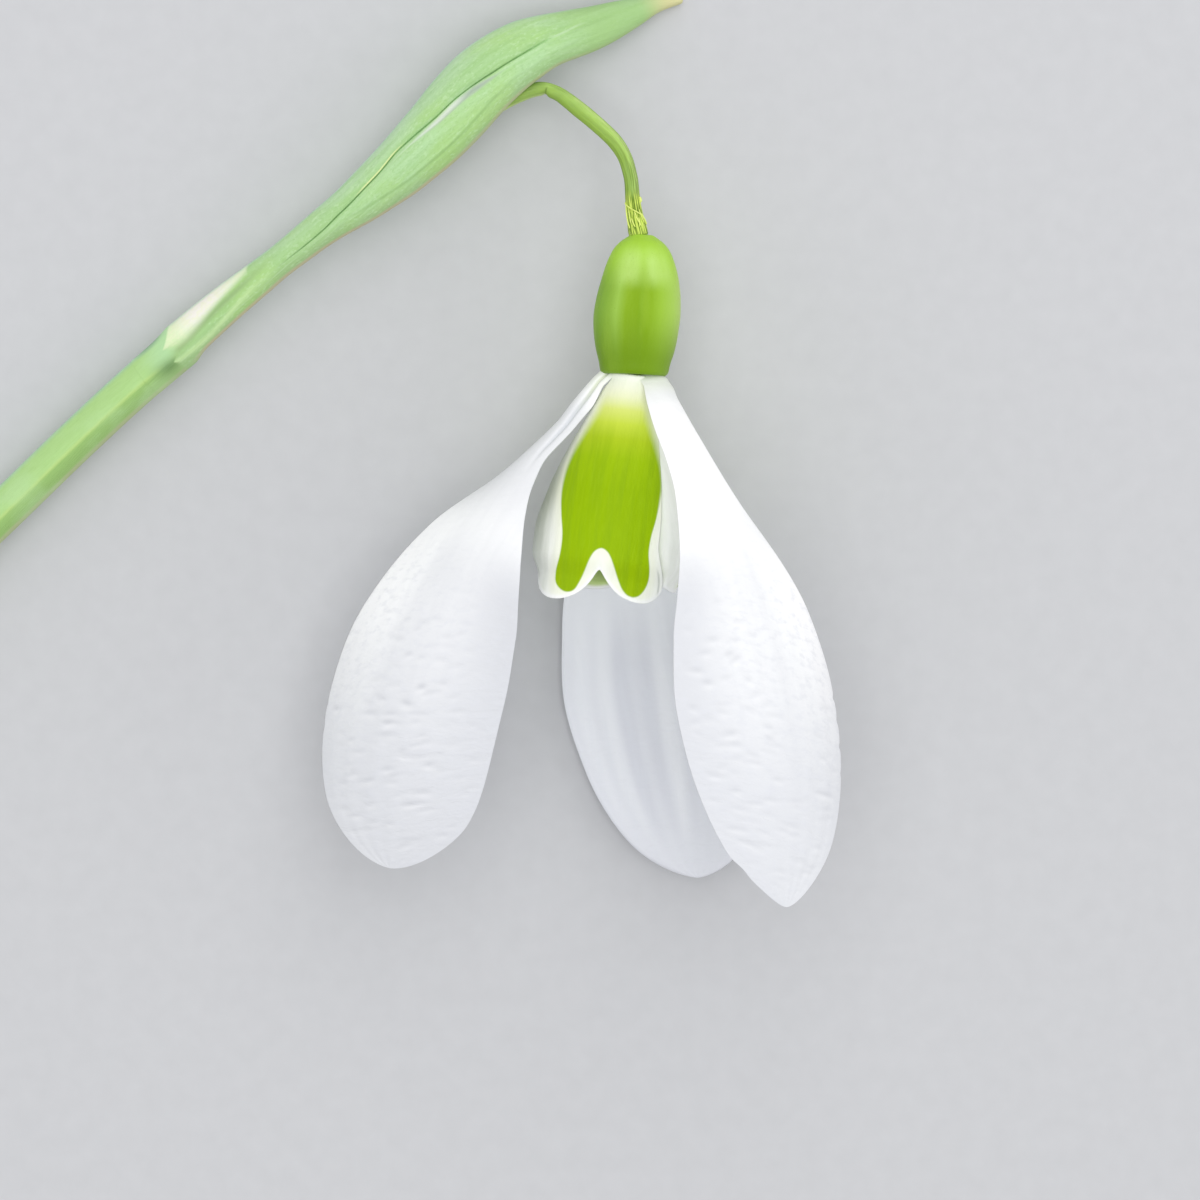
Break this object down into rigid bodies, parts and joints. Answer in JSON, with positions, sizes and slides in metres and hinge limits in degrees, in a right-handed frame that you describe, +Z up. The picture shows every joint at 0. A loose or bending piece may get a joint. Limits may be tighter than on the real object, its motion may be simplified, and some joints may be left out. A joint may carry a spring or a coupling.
{
  "type": "snowdrop flower",
  "caption": "Picked snowdrop lying on its side: green stem with a sheath, thin drooping stalk, rounded ovary, spoon-shaped white outer petals and a notched inner cup marked green.",
  "frame": {"origin": "on the surface that the flower lies on, under the middle of its box", "axes": "+X along the bloom's width from the cut end of the stem towards the petals, +Y from the petal tips towards the arch of the stem, +Z up from the surface"},
  "size_m": [0.0762, 0.0584, 0.0187],
  "materials": {
    "stem_green": "smooth fresh green stem, satin, with soft lengthwise ridges",
    "spathe_green": "blue-green sheath with a dull waxy bloom and a papery membrane between its valves",
    "stalk_green": "thin yellow-green stalk, satin, fibrous at its lower end",
    "ovary_green": "waxy mid green, faintly ribbed, lighter towards the stalk",
    "outer_white": "matt white, finely puckered on the back and grooved on the face",
    "cup_white_green": "white with a large soft-topped green mark and a clean white rim",
    "anther_orange": "dull orange-yellow"
  },
  "bodies": {
    "root": {"scape": "stem_green", "spathe": "spathe_green", "pedicel": "stalk_green", "ovary": "ovary_green", "stamens": "anther_orange", "inner_tepal_front": "cup_white_green", "inner_tepal_right": "cup_white_green", "inner_tepal_left": "cup_white_green", "outer_tepal_right": "outer_white", "outer_tepal_left": "outer_white", "outer_tepal_back": "outer_white"}
  },
  "joints": []
}
